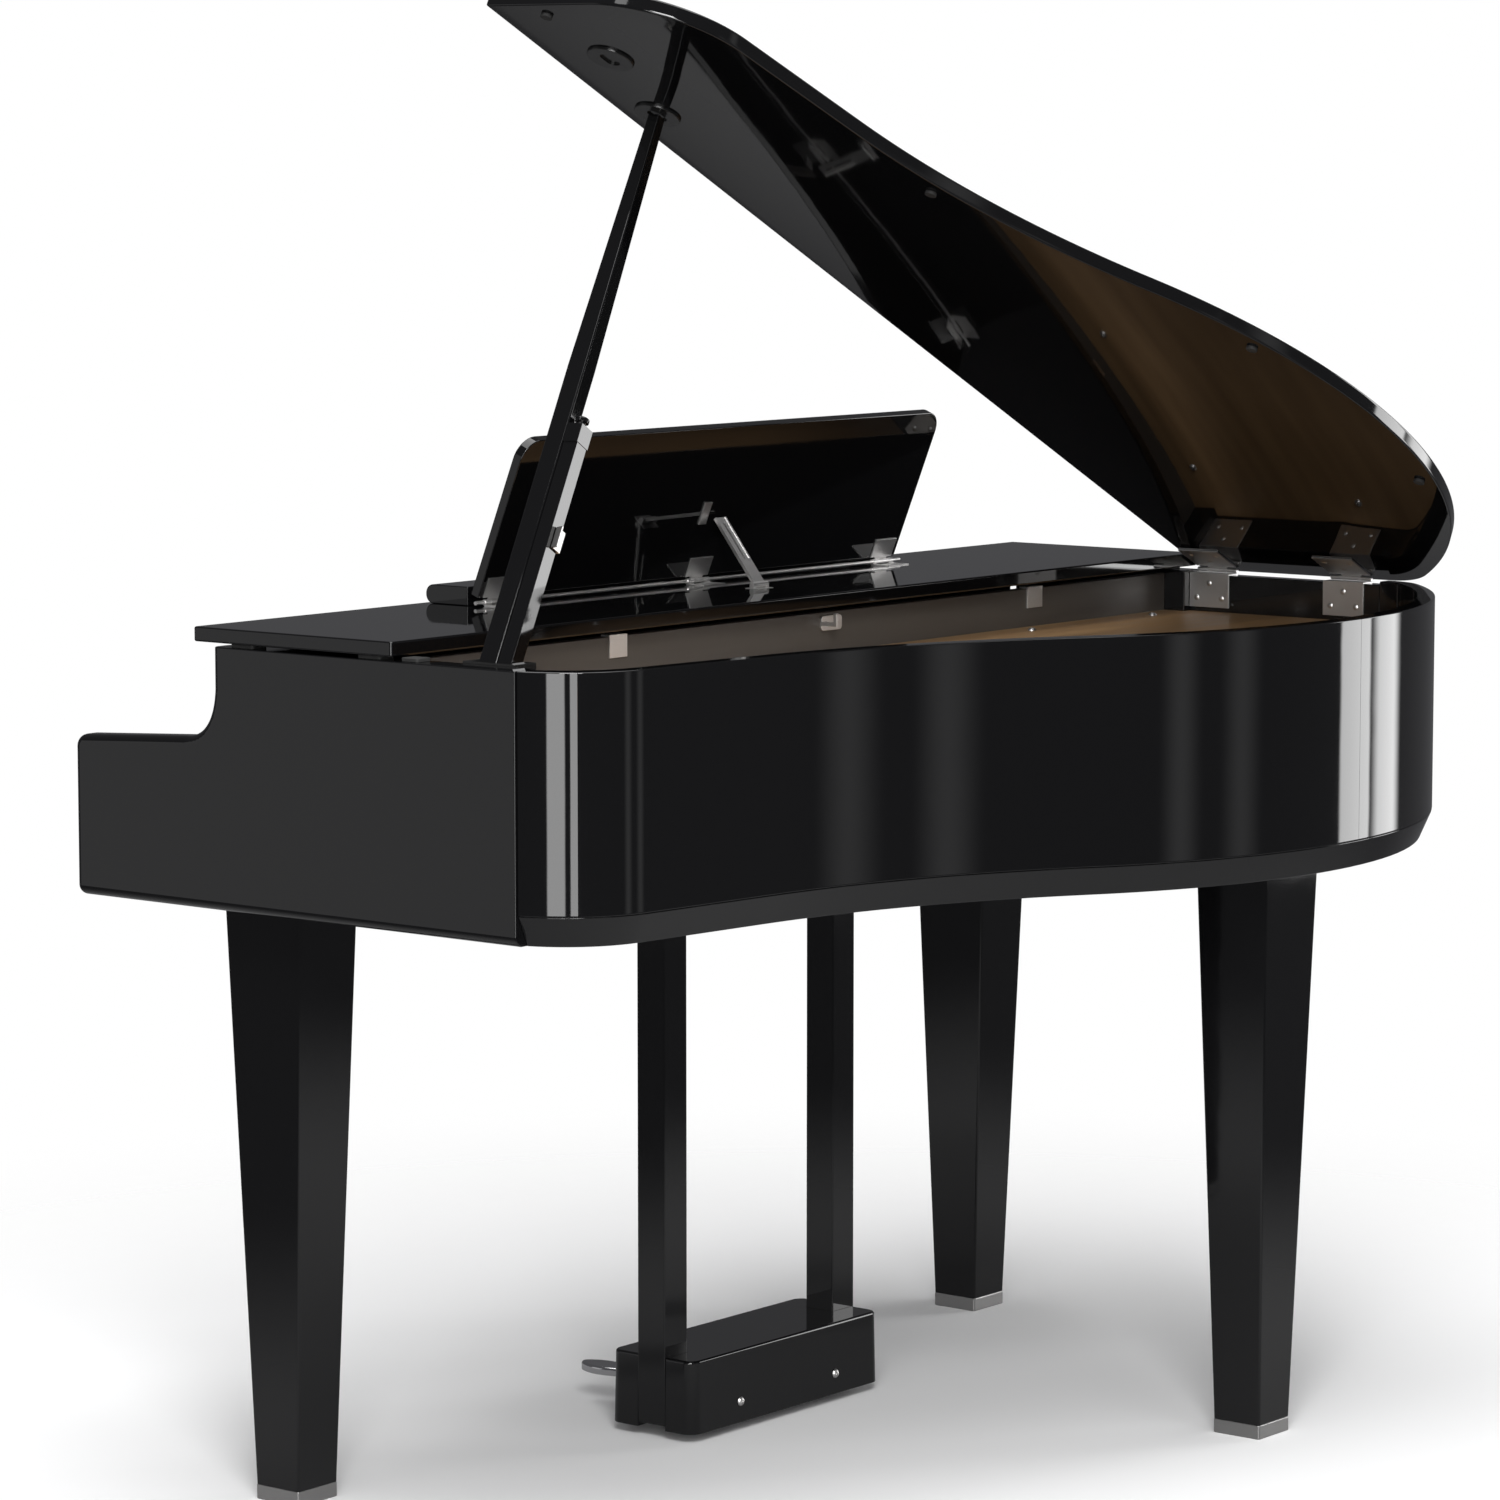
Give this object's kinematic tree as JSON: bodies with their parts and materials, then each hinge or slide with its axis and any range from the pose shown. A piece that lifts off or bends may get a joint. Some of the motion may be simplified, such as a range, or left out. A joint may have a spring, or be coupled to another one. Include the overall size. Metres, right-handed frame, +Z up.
{
  "type": "digital grand piano",
  "caption": "Compact grand-shaped digital piano in polished black: lid propped open over a curved case, folding music desk, full keyboard, sliding key cover, pedal lyre and tapered legs.",
  "frame": {"origin": "on the floor, under the middle of the case's bounding box", "axes": "+X is the player's right (treble side), +Y points from the player to the tail, +Z is up"},
  "size_m": [1.4144, 0.9362, 1.5313],
  "materials": {
    "lacquer": "black polished lacquer on wood board",
    "satin_wall": "dark satin lacquer",
    "veneer": "brown wood veneer, satin",
    "bare_wood": "plain unpainted wood",
    "white_key": "glossy off-white",
    "black_key": "matt black",
    "black_plastic": "black, slightly glossy",
    "rubber": "matt black",
    "steel": "satin nickel plated",
    "chrome": "polished",
    "speaker": "black basket with paper cone",
    "circuit": "green circuit board"
  },
  "bodies": {
    "case": {"bass_cheek": "lacquer", "bentside_rim": "lacquer", "board_spacers": "rubber", "bottom_board": "lacquer", "case_screws": "steel", "corner_rim": "lacquer", "desk_hinges": "steel", "display_panel": "black_plastic", "fascia": "lacquer", "front_board": "lacquer", "front_legs": "lacquer", "inner_wall": "satin_wall", "key_blocks": "lacquer", "key_rail": "bare_wood", "key_slip": "lacquer", "keybed": "lacquer", "leg_caps": "steel", "lyre_posts": "lacquer", "main_board": "circuit", "mains_inlet": "black_plastic", "music_ledge": "lacquer", "pedal_axle": "steel", "pedal_box": "lacquer", "prop_base": "black_plastic", "sound_panel": "veneer", "speakers": "speaker", "spine_leaves": "steel", "spine_rim": "lacquer", "tail_leg": "lacquer", "tail_rim": "lacquer", "treble_cheek": "lacquer", "wall_brackets": "steel"},
    "lid": {"main_lid": "lacquer", "lid_leaves": "steel", "prop_cups": "black_plastic", "lid_bumpers": "rubber"},
    "long_prop": {"long_prop": "lacquer", "prop_clip": "steel"},
    "short_prop": {"short_prop": "lacquer"},
    "desk": {"music_desk": "lacquer", "desk_leaves": "steel"},
    "desk_strut": {"desk_strut": "steel"},
    "key_cover": {"key_cover": "lacquer"},
    "a_notes": {"a_keys": "white_key"},
    "b_notes": {"b_keys": "white_key"},
    "c_notes": {"c_keys": "white_key"},
    "d_notes": {"d_keys": "white_key"},
    "e_notes": {"e_keys": "white_key"},
    "f_notes": {"f_keys": "white_key"},
    "g_notes": {"g_keys": "white_key"},
    "c_sharp_notes": {"c_sharp_keys": "black_key"},
    "d_sharp_notes": {"d_sharp_keys": "black_key"},
    "f_sharp_notes": {"f_sharp_keys": "black_key"},
    "g_sharp_notes": {"g_sharp_keys": "black_key"},
    "a_sharp_notes": {"a_sharp_keys": "black_key"},
    "soft_pedal": {"soft_pedal": "chrome"},
    "sostenuto_pedal": {"sostenuto_pedal": "chrome"},
    "damper_pedal": {"damper_pedal": "chrome"},
    "volume_knob": {"volume_knob": "black_plastic"},
    "power_button": {"power_button": "black_plastic"}
  },
  "joints": [
    {"name": "lid_hinge", "type": "hinge", "parent": "case", "child": "lid", "pos_m": [-0.697, 0, 0.8885], "axis": [0, -1, 0], "range_deg": [0, 9]},
    {"name": "prop_fold", "type": "hinge", "parent": "case", "child": "long_prop", "pos_m": [0.652, 0.0595, 0.878], "axis": [0.1224, -0.9925, 0], "range_deg": [0, 58]},
    {"name": "short_prop_fold", "type": "hinge", "parent": "long_prop", "child": "short_prop", "pos_m": [0.652, 0.0595, 0.878], "axis": [-0.1224, 0.9925, 0], "range_deg": [0, 30]},
    {"name": "desk_fold", "type": "hinge", "parent": "case", "child": "desk", "pos_m": [0, -0.2103, 0.911], "axis": [-1, 0, 0], "range_deg": [0, 67]},
    {"name": "strut_fold", "type": "hinge", "parent": "case", "child": "desk_strut", "pos_m": [0, -0.1245, 0.911], "axis": [-1, 0, 0], "range_deg": [0, 127]},
    {"name": "cover_slide", "type": "slide", "parent": "case", "child": "key_cover", "axis": [0, -1, 0], "range_m": [0, 0.148]},
    {"name": "a_press", "type": "hinge", "parent": "case", "child": "a_notes", "pos_m": [0, -0.23, 0.729], "axis": [1, 0, 0], "range_deg": [0, 2.8], "stiffness_Nm_per_rad": 10, "springref_deg": -6.88},
    {"name": "b_press", "type": "hinge", "parent": "case", "child": "b_notes", "pos_m": [0, -0.23, 0.729], "axis": [1, 0, 0], "range_deg": [0, 2.8], "stiffness_Nm_per_rad": 10, "springref_deg": -6.88},
    {"name": "c_press", "type": "hinge", "parent": "case", "child": "c_notes", "pos_m": [0, -0.23, 0.729], "axis": [1, 0, 0], "range_deg": [0, 2.8], "stiffness_Nm_per_rad": 10, "springref_deg": -6.88},
    {"name": "d_press", "type": "hinge", "parent": "case", "child": "d_notes", "pos_m": [0, -0.23, 0.729], "axis": [1, 0, 0], "range_deg": [0, 2.8], "stiffness_Nm_per_rad": 10, "springref_deg": -6.88},
    {"name": "e_press", "type": "hinge", "parent": "case", "child": "e_notes", "pos_m": [0, -0.23, 0.729], "axis": [1, 0, 0], "range_deg": [0, 2.8], "stiffness_Nm_per_rad": 10, "springref_deg": -6.88},
    {"name": "f_press", "type": "hinge", "parent": "case", "child": "f_notes", "pos_m": [0, -0.23, 0.729], "axis": [1, 0, 0], "range_deg": [0, 2.8], "stiffness_Nm_per_rad": 10, "springref_deg": -6.88},
    {"name": "g_press", "type": "hinge", "parent": "case", "child": "g_notes", "pos_m": [0, -0.23, 0.729], "axis": [1, 0, 0], "range_deg": [0, 2.8], "stiffness_Nm_per_rad": 10, "springref_deg": -6.88},
    {"name": "c_sharp_press", "type": "hinge", "parent": "case", "child": "c_sharp_notes", "pos_m": [0, -0.23, 0.729], "axis": [1, 0, 0], "range_deg": [0, 2.8], "stiffness_Nm_per_rad": 10, "springref_deg": -6.88},
    {"name": "d_sharp_press", "type": "hinge", "parent": "case", "child": "d_sharp_notes", "pos_m": [0, -0.23, 0.729], "axis": [1, 0, 0], "range_deg": [0, 2.8], "stiffness_Nm_per_rad": 10, "springref_deg": -6.88},
    {"name": "f_sharp_press", "type": "hinge", "parent": "case", "child": "f_sharp_notes", "pos_m": [0, -0.23, 0.729], "axis": [1, 0, 0], "range_deg": [0, 2.8], "stiffness_Nm_per_rad": 10, "springref_deg": -6.88},
    {"name": "g_sharp_press", "type": "hinge", "parent": "case", "child": "g_sharp_notes", "pos_m": [0, -0.23, 0.729], "axis": [1, 0, 0], "range_deg": [0, 2.8], "stiffness_Nm_per_rad": 10, "springref_deg": -6.88},
    {"name": "a_sharp_press", "type": "hinge", "parent": "case", "child": "a_sharp_notes", "pos_m": [0, -0.23, 0.729], "axis": [1, 0, 0], "range_deg": [0, 2.8], "stiffness_Nm_per_rad": 10, "springref_deg": -6.88},
    {"name": "soft_pedal_press", "type": "hinge", "parent": "case", "child": "soft_pedal", "pos_m": [0, -0.104, 0.044], "axis": [1, 0, 0], "range_deg": [0, 5], "stiffness_Nm_per_rad": 12, "springref_deg": -4.58},
    {"name": "sostenuto_pedal_press", "type": "hinge", "parent": "case", "child": "sostenuto_pedal", "pos_m": [0, -0.104, 0.044], "axis": [1, 0, 0], "range_deg": [0, 5], "stiffness_Nm_per_rad": 12, "springref_deg": -4.58},
    {"name": "damper_pedal_press", "type": "hinge", "parent": "case", "child": "damper_pedal", "pos_m": [0, -0.104, 0.044], "axis": [1, 0, 0], "range_deg": [0, 5], "stiffness_Nm_per_rad": 12, "springref_deg": -4.58},
    {"name": "volume_turn", "type": "hinge", "parent": "case", "child": "volume_knob", "pos_m": [0.56, -0.2823, 0.838], "axis": [0, 1, 0], "range_deg": [-140, 140]},
    {"name": "power_press", "type": "slide", "parent": "case", "child": "power_button", "axis": [0, 1, 0], "range_m": [0, 0.0015], "stiffness_N_per_m": 400, "springref_m": -0.002}
  ],
  "couplings": [
    {"joint": "strut_fold", "follows": "desk_fold", "ratio": 1.88}
  ]
}
